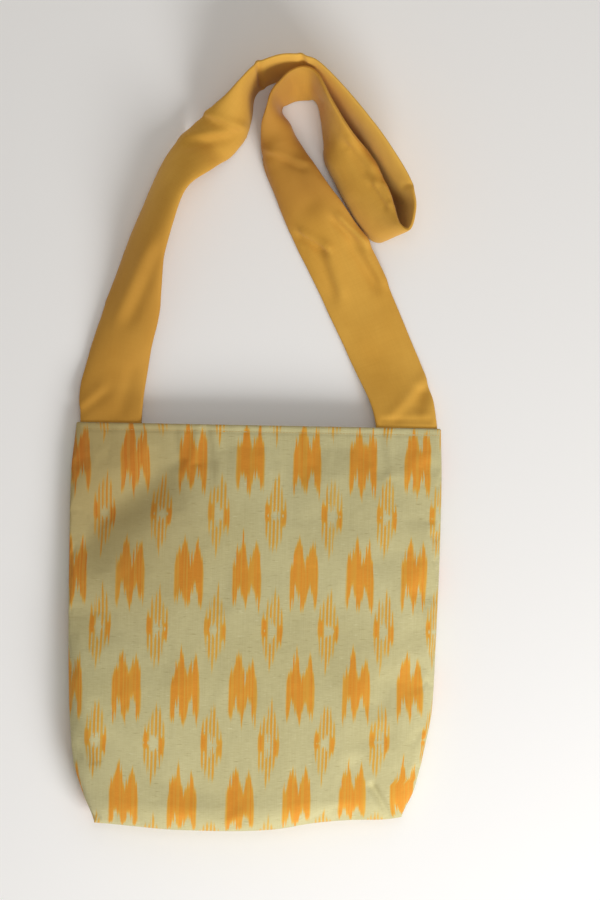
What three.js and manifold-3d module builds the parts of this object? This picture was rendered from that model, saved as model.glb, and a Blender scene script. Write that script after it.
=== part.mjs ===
// Cotton sling bag lying on its back: a soft pouch of two panels and one long strap, looped and folded.
// Millimetres, +X to the bag's right, +Y from the pouch towards the strap, +Z up from the surface it lies on.
import * as THREE from 'three';
import { mergeVertices } from 'three/addons/utils/BufferGeometryUtils.js';
import Module from 'manifold-3d';

// Cloth
const CLOTH = 1.5;
const HEM_CLOTH = 2.2;
const HEM_DEPTH = 9;
const HEM_STEP = 3;
const SEAM_GAP = 0.3;
const PIECE_GAP = 0.7;

// Pouch: half-widths and heights of each section, measured down from the mouth
const POUCH_LENGTH = 378;
const BOTTOM_ROUND = 24;
const BOTTOM_RISE_POWER = 4;
const STRAIGHT_SHARE = 0.76;
const FRONT_FULLNESS = 2.4;
const BACK_SIDE_ROUND = 34;
const POUCH_SECTIONS = [
  { down: 0, left: 170, right: 170, front: 13, back: 13 },
  { down: 45, left: 174, right: 171.5, front: 17, back: 15 },
  { down: 120, left: 174.2, right: 171, front: 22, back: 18 },
  { down: 200, left: 173.4, right: 169, front: 25, back: 19 },
  { down: 270, left: 171.2, right: 166.2, front: 26, back: 20 },
  { down: 322, left: 166, right: 157.5, front: 25, back: 20 },
  { down: 352, left: 156, right: 150.5, front: 24, back: 20 },
  { down: 378, left: 146, right: 140, front: 24, back: 20 },
];

// How far the bottom edge lies above the pouch's full length, across the pouch
const BOTTOM_EDGE = [
  { x: -146, rise: 5 },
  { x: -112, rise: 2.6 },
  { x: -78, rise: 0 },
  { x: -44, rise: -0.6 },
  { x: -10, rise: -0.3 },
  { x: 24, rise: 2.2 },
  { x: 58, rise: 8.4 },
  { x: 92, rise: 12 },
  { x: 126, rise: 13.4 },
  { x: 160, rise: 19 },
];

// Soft folds pressed into the front panel: a line, how far the fold reaches from it, and its depth
const FRONT_FOLDS = [
  { fromX: -100, fromY: -52, toX: -158, toY: -132, reach: 20, depth: 7 },
  { fromX: -165, fromY: -90, toX: -165, toY: -175, reach: 42, depth: 7 },
  { fromX: 96, fromY: -315, toX: 132, toY: -362, reach: 10, depth: 3.6 },
  { fromX: 122, fromY: -238, toX: 127, toY: -282, reach: 11, depth: 2 },
  { fromX: -40, fromY: -30, toX: -18, toY: -110, reach: 22, depth: 1.6 },
  { fromX: -130, fromY: -300, toX: -60, toY: -345, reach: 20, depth: 2 },
];

// Strap: a turned tube of two layers, lying nearly flat by the pouch and standing on one edge in its loop
const STRAP_CLOTH = 3;
const STRAP_LIFT = 1.9;
const STRAP_SPREAD = 70;
const TWIST_LIFT = 0.6;
const POCKET_ROWS = 2.2;
const POCKET_INSET = 5;
const POCKET_OVERRUN = 5;
const NORMAL_STEP = 0.02;
const NORMAL_REACH = 0.92;

// Strap sections from the left end to the right end: the middle of the strap on the surface, the direction
// across it in degrees, its width as seen from above, how far its first edge stands above its second, and
// how far the cloth arches up between the edges
const STRAP_SECTIONS = [
  { x: -137.5, y: -20, across: 0, seen: 57, rise: 0, arch: 0 },
  { x: -137.7, y: 2, across: 0, seen: 57.4, rise: 0, arch: 0 },
  { x: -136.4, y: 34, across: -4, seen: 58.6, rise: -3, arch: 4 },
  { x: -127, y: 77, across: -11, seen: 53, rise: -14, arch: 9 },
  { x: -117, y: 114, across: -18, seen: 49, rise: -20, arch: 10 },
  { x: -105.8, y: 158, across: -21, seen: 34.5, rise: -34, arch: 13 },
  { x: -93.2, y: 197, across: -24, seen: 28, rise: -41, arch: 11 },
  { x: -81.5, y: 226, across: -30, seen: 28, rise: -40, arch: 11 },
  { x: -64, y: 248, across: -36, seen: 39, rise: -24, arch: 14 },
  { x: -49, y: 264, across: -39, seen: 43, rise: 4, arch: 16 },
  { x: -35, y: 281, across: -43, seen: 39, rise: 26, arch: 13 },
  { x: -25.5, y: 295, across: -46, seen: 30, rise: 40, arch: 8 },
  { x: -17, y: 313, across: -52, seen: 18, rise: 54, arch: 4 },
  { x: -4.5, y: 325, across: -82, seen: 20, rise: 55, arch: 3 },
  { x: 15, y: 332.5, across: -94, seen: 21, rise: 55, arch: 3 },
  { x: 33, y: 331.5, across: -112, seen: 22, rise: 55, arch: 3 },
  { x: 46.5, y: 327, across: -127, seen: 19, rise: 55, arch: 3 },
  { x: 72, y: 302.8, across: -141, seen: 17, rise: 54, arch: 5 },
  { x: 101, y: 267.6, across: -150, seen: 18, rise: 54, arch: 5 },
  { x: 124.5, y: 230.2, across: -155, seen: 21, rise: 53, arch: 6 },
  { x: 131, y: 211, across: -164, seen: 20, rise: 55, arch: 2 },
  { x: 130, y: 195, across: -163, seen: 21, rise: 55, arch: 1 },
  { x: 124, y: 181, across: -158, seen: 25, rise: 53, arch: 0 },
  { x: 114, y: 184.5, across: -153, seen: 29, rise: 50, arch: 3 },
  { x: 106, y: 200, across: -154, seen: 34, rise: 43, arch: 9 },
  { x: 97.2, y: 217.4, across: -154, seen: 36.5, rise: 38, arch: 12 },
  { x: 88.2, y: 235.4, across: -157, seen: 37.5, rise: 34, arch: 14 },
  { x: 78.2, y: 252.3, across: -161, seen: 34.5, rise: 32, arch: 15 },
  { x: 70, y: 269, across: -163, seen: 24, rise: 46, arch: 7 },
  { x: 62.5, y: 287, across: -162, seen: 15, rise: 52, arch: 4 },
  { x: 56, y: 302, across: -152, seen: 10, rise: 55, arch: 2 },
  { x: 50.5, y: 311, across: -125, seen: 14, rise: 54, arch: 2 },
  { x: 43, y: 317, across: -97, seen: 25, rise: 51, arch: 1 },
  { x: 35, y: 318, across: -87, seen: 28, rise: 50, arch: 1 },
  { x: 26, y: 315.5, across: -82, seen: 26, rise: 51, arch: 1 },
  { x: 18, y: 310, across: -72, seen: 21, rise: 52, arch: 2 },
  { x: 11.5, y: 303, across: -48, seen: 15, rise: 53, arch: 2 },
  { x: 8.2, y: 292, across: -14, seen: 13, rise: 49, arch: 5 },
  { x: 7.8, y: 279.5, across: 6, seen: 20, rise: 30, arch: 13 },
  { x: 14.8, y: 262, across: 14, seen: 33, rise: 2, arch: 18 },
  { x: 25, y: 241, across: 19.5, seen: 41, rise: -14, arch: 14 },
  { x: 36.5, y: 220, across: 23, seen: 46, rise: -20, arch: 10.5 },
  { x: 55.5, y: 186, across: 25, seen: 55, rise: -13, arch: 6 },
  { x: 76, y: 150, across: 23, seen: 59, rise: -6, arch: 4 },
  { x: 96, y: 108, across: 23, seen: 59, rise: 0, arch: 3 },
  { x: 115, y: 67, across: 20, seen: 58, rise: 0, arch: 3 },
  { x: 131, y: 30, across: 11, seen: 57, rise: 0, arch: 2 },
  { x: 137.7, y: 2, across: 0, seen: 57.4, rise: 0, arch: 0 },
  { x: 137.5, y: -20, across: 0, seen: 57, rise: 0, arch: 0 },
];

// How finely each sheet is divided, across and along; the strap's rows are for each section
const FRONT_GRID = { columns: 24, rows: 26 };
const BACK_GRID = { columns: 22, rows: 22 };
const STRAP_GRID = { columns: 8, rows: 2 };
const POCKET_GRID = { columns: 8, rows: 10 };

const IKAT_COTTON = { color: 0xb9b07c, roughness: 0.9, metalness: 0 };
const STRAP_COTTON = { color: 0xcb9a3c, roughness: 0.85, metalness: 0 };

const { clamp, degToRad, lerp, smoothstep } = THREE.MathUtils;

const wasm = await Module();
wasm.setup();

// A column of a table read between its rows along a smooth curve through them
function column(table, name, place) {
  const last = table.length - 1;
  const row = Math.min(Math.floor(place), last - 1);
  const part = place - row;
  const value = (index) => table[clamp(index, 0, last)][name];
  const leaving = (value(row + 1) - value(row - 1)) / 2;
  const arriving = (value(row + 2) - value(row)) / 2;
  const step = value(row + 1) - value(row);
  const bend = 3 * step - 2 * leaving - arriving;
  const turn = leaving + arriving - 2 * step;
  return value(row) + part * (leaving + part * (bend + part * turn));
}

// A flat sheet of cloth bent into shape: place() says where each point of its two faces goes,
// from -1 to 1 across, 0 to 1 along, and 1 or -1 for the face
function bentSheet({ columns, rows }, place) {
  const flat = new THREE.BoxGeometry(2, 1, 2, columns, rows, 1);
  flat.deleteAttribute('normal');
  flat.deleteAttribute('uv');
  const sheet = mergeVertices(flat);
  const points = sheet.getAttribute('position');
  for (let index = 0; index < points.count; index += 1) {
    const point = place(points.getX(index), points.getY(index) + 0.5, Math.sign(points.getZ(index)));
    points.setXYZ(index, point.x, point.y, point.z);
  }
  return sheet;
}

// Pouch

function pouchSection(down) {
  let row = 0;
  while (row < POUCH_SECTIONS.length - 2 && POUCH_SECTIONS[row + 1].down < down) row += 1;
  const top = POUCH_SECTIONS[row].down;
  const place = row + (down - top) / (POUCH_SECTIONS[row + 1].down - top);
  const read = (name) => column(POUCH_SECTIONS, name, place);
  return { left: read('left'), right: read('right'), front: read('front'), back: read('back') };
}

function bottomEdge(x) {
  const last = BOTTOM_EDGE.length - 1;
  const share = (x - BOTTOM_EDGE[0].x) / (BOTTOM_EDGE[last].x - BOTTOM_EDGE[0].x);
  return column(BOTTOM_EDGE, 'rise', clamp(share, 0, 1) * last);
}

function clothAt(down) {
  return lerp(HEM_CLOTH, CLOTH, smoothstep(down, HEM_DEPTH, HEM_DEPTH + HEM_STEP));
}

// Height of the crowned front and depth of the flat-bottomed back, 1 in the middle and 0 at the side seam
function frontCrown(share) {
  return (1 - Math.abs(share) ** FRONT_FULLNESS) ** (1 / FRONT_FULLNESS);
}

function backDepth(share, halfWidth) {
  const intoCorner = (Math.abs(share) * halfWidth - halfWidth + BACK_SIDE_ROUND) / BACK_SIDE_ROUND;
  return Math.sqrt(1 - clamp(intoCorner, 0, 1) ** 2);
}

function foldDepth(x, y) {
  let depth = 0;
  for (const fold of FRONT_FOLDS) {
    const run = new THREE.Vector2(fold.toX - fold.fromX, fold.toY - fold.fromY);
    const reach = new THREE.Vector2(x - fold.fromX, y - fold.fromY);
    const nearest = clamp(reach.dot(run) / run.lengthSq(), 0, 1);
    const distance = reach.sub(run.multiplyScalar(nearest)).length() / fold.reach;
    depth += fold.depth * Math.exp(-distance * distance);
  }
  return depth;
}

// One face of a panel, inset from the pouch's outside by the cloth's thickness on the inner face
function panelPoint(isFront, across, down, closing, inset) {
  const section = pouchSection(down);
  const seamHeight = section.back;
  const share = Math.sin(across * Math.PI / 2);
  const halfWidth = (share < 0 ? section.left : section.right) - inset;
  const closed = Math.sqrt(1 - closing * closing);
  const x = share * halfWidth;
  const bottomRise = bottomEdge(x) * (down / POUCH_LENGTH) ** BOTTOM_RISE_POWER;
  const y = bottomRise - down + inset * closing;
  if (!isFront) {
    const depth = (section.back - inset) * backDepth(share, halfWidth) * closed;
    return new THREE.Vector3(x, y, seamHeight - SEAM_GAP / 2 - depth + SEAM_GAP / 2 * closed);
  }
  const crown = frontCrown(share) * closed;
  const fold = foldDepth(x, y) * crown;
  return new THREE.Vector3(x, y, seamHeight + SEAM_GAP / 2 + (section.front - inset) * crown - fold);
}

// The sheet runs straight from the mouth and then turns round the bottom to the bottom seam
function panel(isFront, grid) {
  const straight = POUCH_LENGTH - BOTTOM_ROUND;
  return bentSheet(grid, (across, along, face) => {
    const fromMouth = 1 - along;
    const turned = clamp((fromMouth - STRAIGHT_SHARE) / (1 - STRAIGHT_SHARE), 0, 1) * Math.PI / 2;
    const closing = Math.sin(turned);
    const down = Math.min(fromMouth / STRAIGHT_SHARE, 1) * straight + closing * BOTTOM_ROUND;
    const isOutside = isFront ? face > 0 : face < 0;
    return panelPoint(isFront, across, down, closing, isOutside ? 0 : clothAt(down));
  });
}

// Strap

function strapSection(place) {
  const read = (name) => column(STRAP_SECTIONS, name, place);
  const across = degToRad(read('across'));
  const direction = new THREE.Vector3(Math.cos(across), Math.sin(across), 0);
  const rise = read('rise');
  const arch = Math.max(read('arch'), 0);
  const lift = STRAP_LIFT + Math.hypot(rise, TWIST_LIFT * arch) / 2;
  const middle = new THREE.Vector3(read('x'), read('y'), lift);
  const halfSpan = direction.clone().multiplyScalar(read('seen') / 2).setZ(-rise / 2);
  const upward = direction.clone().multiplyScalar(rise).setZ(read('seen')).normalize();
  return { middle, halfSpan, arch, upward };
}

// The cloth's middle surface: a half-ellipse arch from edge to edge of the section
function strapMiddle(across, place) {
  const { middle, halfSpan, arch, upward } = strapSection(clamp(place, 0, STRAP_SECTIONS.length - 1));
  const angle = across * Math.PI / 2;
  return middle
    .addScaledVector(halfSpan, Math.sin(angle))
    .addScaledVector(upward, arch * Math.cos(angle));
}

// Height of the strap's upper or lower layer where its end opens to line the mouth from hem to hem
function mouthLayer(x, y, isUpper) {
  const down = Math.max(-y, 0);
  const section = pouchSection(down);
  const inset = clothAt(down) + PIECE_GAP;
  const halfWidth = (x < 0 ? section.left : section.right) - inset;
  const share = clamp(Math.abs(x) / halfWidth, 0, 1);
  if (isUpper) return section.back + (section.front - inset) * frontCrown(share);
  return section.back - (section.back - inset) * backDepth(share, halfWidth);
}

// The way the cloth faces, taken a little inside its edges, where the arch has not yet turned straight down
function strapNormal(across, place) {
  const inside = clamp(across, -NORMAL_REACH, NORMAL_REACH);
  const ahead = strapMiddle(inside, place + NORMAL_STEP);
  const along = ahead.sub(strapMiddle(inside, place - NORMAL_STEP));
  const beside = strapMiddle(inside + NORMAL_STEP, place);
  const over = beside.sub(strapMiddle(inside - NORMAL_STEP, place));
  return over.cross(along).normalize();
}

function strapPoint(across, place, face) {
  const here = strapMiddle(across, place);
  const normal = strapNormal(across, place);
  const open = 1 - smoothstep(here.y, 0, STRAP_SPREAD);
  const point = here.clone().addScaledVector(normal, face * STRAP_CLOTH / 2);
  point.z = lerp(point.z, mouthLayer(here.x, here.y, normal.z * face > 0), open);
  return point;
}

// The room between the two layers where the strap's end is open
function pocket(firstPlace) {
  const narrowed = 1 - 2 * POCKET_INSET / STRAP_SECTIONS[0].seen;
  return bentSheet(POCKET_GRID, (across, along, face) => {
    const place = firstPlace + along * POCKET_ROWS;
    const near = strapPoint(across * narrowed, place, 1);
    const far = strapPoint(across * narrowed, place, -1);
    const room = (Math.abs(near.z - far.z) - STRAP_CLOTH) / 2;
    const isOpenEnd = place === 0 || place === STRAP_SECTIONS.length - 1;
    const middle = near.clone().add(far).multiplyScalar(0.5);
    middle.y -= isOpenEnd ? POCKET_OVERRUN : 0;
    middle.z += face * Math.sign(near.z - far.z) * room;
    return middle;
  });
}

function toSolid(geometry) {
  const vertProperties = Float32Array.from(geometry.getAttribute('position').array);
  const triVerts = Uint32Array.from(geometry.index.array);
  return new wasm.Manifold(new wasm.Mesh({ numProp: 3, vertProperties, triVerts }));
}

function fromSolid(solid) {
  const { numProp, vertProperties, triVerts } = solid.getMesh();
  const geometry = new THREE.BufferGeometry();
  geometry.setAttribute('position', new THREE.BufferAttribute(vertProperties, numProp));
  geometry.setIndex(new THREE.BufferAttribute(triVerts, 1));
  return geometry;
}

function strap() {
  const lastPlace = STRAP_SECTIONS.length - 1;
  const grid = { columns: STRAP_GRID.columns, rows: STRAP_GRID.rows * lastPlace };
  const tube = bentSheet(grid, (across, along, face) => strapPoint(across, along * lastPlace, face));
  return toSolid(tube)
    .subtract(toSolid(pocket(0)))
    .subtract(toSolid(pocket(lastPlace - POCKET_ROWS)));
}

function named(name, geometry, finish) {
  geometry.computeVertexNormals();
  const mesh = new THREE.Mesh(geometry, new THREE.MeshStandardMaterial(finish));
  mesh.name = name;
  return mesh;
}

const bag = new THREE.Group();
bag.add(named('front_panel', panel(true, FRONT_GRID), IKAT_COTTON));
bag.add(named('back_panel', panel(false, BACK_GRID), IKAT_COTTON));
bag.add(named('strap', fromSolid(strap()), STRAP_COTTON));

// The origin is under the middle of the whole bag, on the surface it lies on
const box = new THREE.Box3().setFromObject(bag);
const centre = box.getCenter(new THREE.Vector3());
bag.position.set(-centre.x, -centre.y, -box.min.z);
bag.updateMatrixWorld(true);

export default bag;
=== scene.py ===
import math

import bmesh
import bpy
import numpy as np
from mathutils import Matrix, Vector, noise


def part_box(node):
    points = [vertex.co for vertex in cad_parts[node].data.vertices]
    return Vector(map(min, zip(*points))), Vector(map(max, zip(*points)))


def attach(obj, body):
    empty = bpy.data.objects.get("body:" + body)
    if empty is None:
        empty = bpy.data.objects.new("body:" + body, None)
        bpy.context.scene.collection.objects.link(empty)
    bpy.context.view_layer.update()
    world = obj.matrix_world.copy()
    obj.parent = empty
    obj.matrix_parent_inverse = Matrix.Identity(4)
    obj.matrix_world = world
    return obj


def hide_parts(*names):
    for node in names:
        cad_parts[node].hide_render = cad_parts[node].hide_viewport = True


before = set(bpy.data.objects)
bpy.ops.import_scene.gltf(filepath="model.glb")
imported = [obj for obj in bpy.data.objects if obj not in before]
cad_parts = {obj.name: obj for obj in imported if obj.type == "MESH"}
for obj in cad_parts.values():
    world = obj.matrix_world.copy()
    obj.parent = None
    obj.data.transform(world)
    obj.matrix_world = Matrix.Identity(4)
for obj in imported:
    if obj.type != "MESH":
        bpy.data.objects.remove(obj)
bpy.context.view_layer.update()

# Camera: looks straight down on the bag where it lies, turned a little, so that the bag leans as a hand
# laid it. The picture is 600 by 900 pixels and takes in VIEW_HEIGHT of the surface from top to bottom.
VIEW_HEIGHT = 0.837
VIEW_MIDDLE = (0.0404, -0.005)
CAMERA_HEIGHT = 6.0
BAG_MIDDLE_HEIGHT = 0.03
BAG_LEAN = 0.0192

camera_data = bpy.data.cameras.new("camera")
camera_data.lens = camera_data.sensor_width * (CAMERA_HEIGHT - BAG_MIDDLE_HEIGHT) / VIEW_HEIGHT
camera = bpy.data.objects.new("camera", camera_data)
camera.location = (*VIEW_MIDDLE, CAMERA_HEIGHT)
camera.rotation_euler = (0, 0, BAG_LEAN)
bpy.context.collection.objects.link(camera)
bpy.context.scene.camera = camera

# Front panel: the upper half of the pouch, one sheet of slub cotton. Its top edge is folded inside and
# sewn down as a hem, and it runs down to the seams that join it to the back at the sides and the bottom.
MOUTH_X = 0.00142
MOUTH_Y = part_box("front_panel")[1].y
PANEL_CLOTH = 0.0008
POUCH_LENGTH = 0.378
BOTTOM_ROUND = 0.024
BOTTOM_ARC = 0.038
BOTTOM_RISE_POWER = 4
FRONT_FULLNESS = 2.4
BACK_SIDE_ROUND = 0.034
HEM_FOLD = 0.0009
HEM_TURN = 0.012
STITCH_DOWN = 0.0068
STITCH_SINK = 0.0008
STITCH_DRAW = 0.0014
PUCKER_HEIGHT = 0.0008
PUCKER_WAVE = 0.009
PUCKER_LENGTH = 0.016
PUCKER_DRAWN_DOWN = (1, 0.12, 1)
GATHER_HEIGHT = 0.0022
GATHER_WAVE = 0.026
GATHER_LENGTH = 0.022
GATHER_DRAWN_ACROSS = (0.25, 1, 1)
SLACK_HEIGHT = 0.0022
SLACK_WAVE = 0.075
SLACK_FINE_WAVE = SLACK_WAVE / 2.3
SLACK_FINE_SHARE = 0.4
SLACK_FREE_BY = 0.05
PANEL_COLUMNS = 190
PANEL_ROWS = 236

# Half-widths to the left and right and heights of the front and back, at each distance down from the mouth
POUCH_SECTIONS = [
    dict(down=0.000, left=0.1700, right=0.1700, front=0.013, back=0.013),
    dict(down=0.045, left=0.1740, right=0.1715, front=0.017, back=0.015),
    dict(down=0.120, left=0.1742, right=0.1710, front=0.022, back=0.018),
    dict(down=0.200, left=0.1734, right=0.1690, front=0.025, back=0.019),
    dict(down=0.270, left=0.1712, right=0.1662, front=0.026, back=0.020),
    dict(down=0.322, left=0.1660, right=0.1575, front=0.025, back=0.020),
    dict(down=0.352, left=0.1560, right=0.1505, front=0.024, back=0.020),
    dict(down=0.378, left=0.1460, right=0.1400, front=0.024, back=0.020),
]

# How far the bottom edge lies above the pouch's full length, across the pouch
BOTTOM_EDGE = [
    dict(x=-0.146, rise=0.0050),
    dict(x=-0.112, rise=0.0026),
    dict(x=-0.078, rise=0.0000),
    dict(x=-0.044, rise=-0.0006),
    dict(x=-0.010, rise=-0.0003),
    dict(x=0.024, rise=0.0022),
    dict(x=0.058, rise=0.0084),
    dict(x=0.092, rise=0.0120),
    dict(x=0.126, rise=0.0134),
    dict(x=0.160, rise=0.0190),
]

# Soft folds pressed into the front: a line on the pouch, how far the fold reaches from it, and its depth
FRONT_FOLDS = [
    dict(start=(-0.095, -0.050), end=(-0.164, -0.112), reach=0.022, depth=0.0092),
    dict(start=(-0.167, -0.088), end=(-0.167, -0.170), reach=0.042, depth=0.0102),
    dict(start=(0.096, -0.315), end=(0.132, -0.362), reach=0.010, depth=0.0036),
    dict(start=(0.112, -0.333), end=(0.129, -0.361), reach=0.0036, depth=0.0062),
    dict(start=(0.122, -0.238), end=(0.127, -0.282), reach=0.011, depth=0.0020),
    dict(start=(-0.040, -0.030), end=(-0.018, -0.110), reach=0.022, depth=0.0016),
    dict(start=(-0.130, -0.300), end=(-0.060, -0.345), reach=0.020, depth=0.0020),
]

# Sharper creases in the front, short ones drawn in by the hem's stitches
FRONT_CREASES = [
    dict(start=(-0.074, -0.010), end=(-0.070, -0.036), reach=0.0036, depth=0.0008),
    dict(start=(-0.060, -0.010), end=(-0.064, -0.030), reach=0.0034, depth=0.0007),
    dict(start=(-0.044, -0.010), end=(-0.040, -0.046), reach=0.0044, depth=0.0010),
    dict(start=(0.118, -0.010), end=(0.121, -0.038), reach=0.0040, depth=0.0010),
    dict(start=(0.040, -0.010), end=(0.043, -0.026), reach=0.0034, depth=0.0006),
]


def through(rows, column, place):
    """A column of a table read between its rows, along a smooth curve through them."""
    values = np.array([row[column] for row in rows])
    last = len(values) - 1
    row = np.clip(np.floor(place).astype(int), 0, last - 1)
    part = place - row
    step = values[row + 1] - values[row]
    leaving = (values[row + 1] - values[np.clip(row - 1, 0, last)]) / 2
    arriving = (values[np.clip(row + 2, 0, last)] - values[row]) / 2
    bend = 3 * step - 2 * leaving - arriving
    turn = leaving + arriving - 2 * step
    return values[row] + part * (leaving + part * (bend + part * turn))


def pouch_at(down, column):
    """A size of the pouch at a distance down from its mouth."""
    places = range(len(POUCH_SECTIONS))
    return through(POUCH_SECTIONS, column, np.interp(down, [row["down"] for row in POUCH_SECTIONS], places))


def ease(value, low, high):
    """0 below low, 1 above high, and a smooth step between them."""
    share = np.clip((value - low) / (high - low), 0, 1)
    return share * share * (3 - 2 * share)


def front_crown(share):
    """Height of the front across the pouch: 1 in the middle, 0 at the side seams."""
    return (1 - np.minimum(np.abs(share), 1) ** FRONT_FULLNESS) ** (1 / FRONT_FULLNESS)


def back_depth(share, half_width):
    """Depth of the back across the pouch: 1 where it lies on the surface, 0 at the side seams."""
    into_corner = (np.abs(share) * half_width - half_width + BACK_SIDE_ROUND) / BACK_SIDE_ROUND
    return np.sqrt(1 - np.clip(into_corner, 0, 1) ** 2)


def fold_depth(folds, x, y):
    """How deep the folds of a table press the cloth in at points of the pouch."""
    depth = np.zeros_like(x)
    for fold in folds:
        run = np.subtract(fold["end"], fold["start"])
        reach_x = x - fold["start"][0]
        reach_y = y - fold["start"][1]
        nearest = np.clip((reach_x * run[0] + reach_y * run[1]) / (run @ run), 0, 1)
        distance = np.hypot(reach_x - nearest * run[0], reach_y - nearest * run[1])
        depth += fold["depth"] * np.exp(-((distance / fold["reach"]) ** 2))
    return depth


def crease_depth(creases, x, y):
    """How deep the creases of a table press the cloth in: each sinks it on the right of its line, going from
    start to end, and raises it on the left."""
    depth = np.zeros_like(x)
    for crease in creases:
        run = np.subtract(crease["end"], crease["start"])
        length = np.hypot(*run)
        reach_x = x - crease["start"][0]
        reach_y = y - crease["start"][1]
        ahead = (reach_x * run[0] + reach_y * run[1]) / length
        aside = (reach_x * run[1] - reach_y * run[0]) / length / crease["reach"]
        beyond = (ahead - np.clip(ahead, 0, length)) / crease["reach"] / 2
        depth += crease["depth"] * aside * np.exp(0.5 - aside ** 2 / 2 - beyond ** 2)
    return depth


def ripple(points, scale, seed):
    """Smooth random values from -1 to 1 at points, with waves of about that length in metres."""
    return np.array([noise.noise(Vector(point) / scale + Vector((seed, 0, 0))) for point in points])


def hem_groove(along):
    """How deep the line of stitches draws the cloth in, along the hem."""
    return STITCH_SINK * np.exp(-(((along - STITCH_DOWN) / STITCH_DRAW) ** 2))


def relief(x, y, from_seam, along):
    """Small lumps of the front: the hem's groove and puckers, gathers at the side seams, slack between."""
    flat = np.column_stack([x, y, np.zeros_like(x)])
    below_stitches = np.maximum(along - STITCH_DOWN, 0)
    puckers = ripple(flat * PUCKER_DRAWN_DOWN, PUCKER_WAVE, seed=3) * np.exp(-below_stitches / PUCKER_LENGTH)
    gathers = ripple(flat * GATHER_DRAWN_ACROSS, GATHER_WAVE, seed=11) * np.exp(-from_seam / GATHER_LENGTH)
    slack = ripple(flat, SLACK_WAVE, seed=23) + ripple(flat, SLACK_FINE_WAVE, seed=31) * SLACK_FINE_SHARE
    loose = SLACK_HEIGHT * slack * ease(along, 0, SLACK_FREE_BY)
    lumps = PUCKER_HEIGHT * puckers + GATHER_HEIGHT * gathers + loose
    return np.where(along > 0, lumps - hem_groove(along), 0)


def panel_points(is_front, across, along):
    """Outer face of a panel: across from -1 to 1, and metres along the cloth from the mouth's folded edge."""
    quarter = HEM_FOLD * math.pi / 2
    angle = np.clip(along / HEM_FOLD, -math.pi / 2, math.pi / 2)
    past_fold = np.maximum(np.abs(along) - quarter, 0)
    from_mouth = HEM_FOLD * (1 - np.cos(angle)) + past_fold
    inset = HEM_FOLD * (1 - np.sin(angle))

    straight = POUCH_LENGTH - BOTTOM_ROUND
    turned = np.clip((from_mouth - straight) / BOTTOM_ARC, 0, 1) * math.pi / 2
    closing = np.sin(turned)
    closed = np.cos(turned)
    down = np.minimum(from_mouth, straight) + closing * BOTTOM_ROUND

    share = np.sin(across * math.pi / 2)
    half_width = np.where(share < 0, pouch_at(down, "left"), pouch_at(down, "right")) - inset
    x = share * half_width
    edge_place = np.interp(x, [row["x"] for row in BOTTOM_EDGE], range(len(BOTTOM_EDGE)))
    y = through(BOTTOM_EDGE, "rise", edge_place) * (down / POUCH_LENGTH) ** BOTTOM_RISE_POWER - down
    seam = pouch_at(down, "back")
    if is_front:
        crown = front_crown(share) * closed
        fold = (fold_depth(FRONT_FOLDS, x, y) + crease_depth(FRONT_CREASES, x, y)) * crown
        lumps = relief(x, y, half_width * (1 - np.abs(share)), along) * crown
        z = seam + (pouch_at(down, "front") - inset) * crown - fold + lumps
    else:
        groove = hem_groove(along) * back_depth(share, half_width)
        z = seam - (seam - inset) * back_depth(share, half_width) * closed + groove
    return np.column_stack([x + MOUTH_X, y + MOUTH_Y, z])


def sheet_of_cloth(name, columns, rows, place):
    """A flat grid bent by place(across, along), each from -1 to 1, with a UV map of metres on the cloth."""
    grid = bmesh.new()
    bmesh.ops.create_grid(grid, x_segments=columns, y_segments=rows, size=1)
    mesh = bpy.data.meshes.new(name)
    grid.to_mesh(mesh)
    grid.free()
    flat = np.zeros(len(mesh.vertices) * 3)
    mesh.vertices.foreach_get("co", flat)
    flat = flat.reshape(-1, 3)
    points, on_cloth = place(flat[:, 0], flat[:, 1])
    mesh.vertices.foreach_set("co", points.ravel())
    corners = np.zeros(len(mesh.loops), int)
    mesh.loops.foreach_get("vertex_index", corners)
    mesh.uv_layers.new(name="cloth").data.foreach_set("uv", on_cloth[corners].ravel())
    mesh.shade_smooth()
    mesh.update()
    piece = bpy.data.objects.new(name, mesh)
    bpy.context.collection.objects.link(piece)
    return piece


def across_cloth(points, columns):
    """Metres across the cloth from its middle column, measured along each row of a grid of points."""
    rows = points.reshape(-1, columns + 1, 3)
    steps = np.linalg.norm(np.diff(rows, axis=1), axis=2)
    walked = np.concatenate([np.zeros((len(rows), 1)), np.cumsum(steps, axis=1)], axis=1)
    return (walked - walked[:, columns // 2, None]).ravel()


CLOTH_LENGTH = POUCH_LENGTH - BOTTOM_ROUND + BOTTOM_ARC

# How cloth settles: the frames it is given, its weight, and its stiffness against stretch, shear and bending
SETTLE_FRAMES = 24
SETTLE_QUALITY = 6
SETTLE_MASS = 0.02
SETTLE_STRETCH = 15
SETTLE_SHEAR = 5
SETTLE_BEND = 2.0

# The front settles on a coarser grid: its spare cloth, how firmly the fullness of the pouch holds it, and how
# far a point may move
FRONT_COLUMNS = 80
FRONT_ROWS = 98
FRONT_SPARE = 0.004
FRONT_HOLD = 0.03
FRONT_LIMIT = 0.003
SEWN_ACROSS = 0.97
SEWN_DOWN = 0.024


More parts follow.
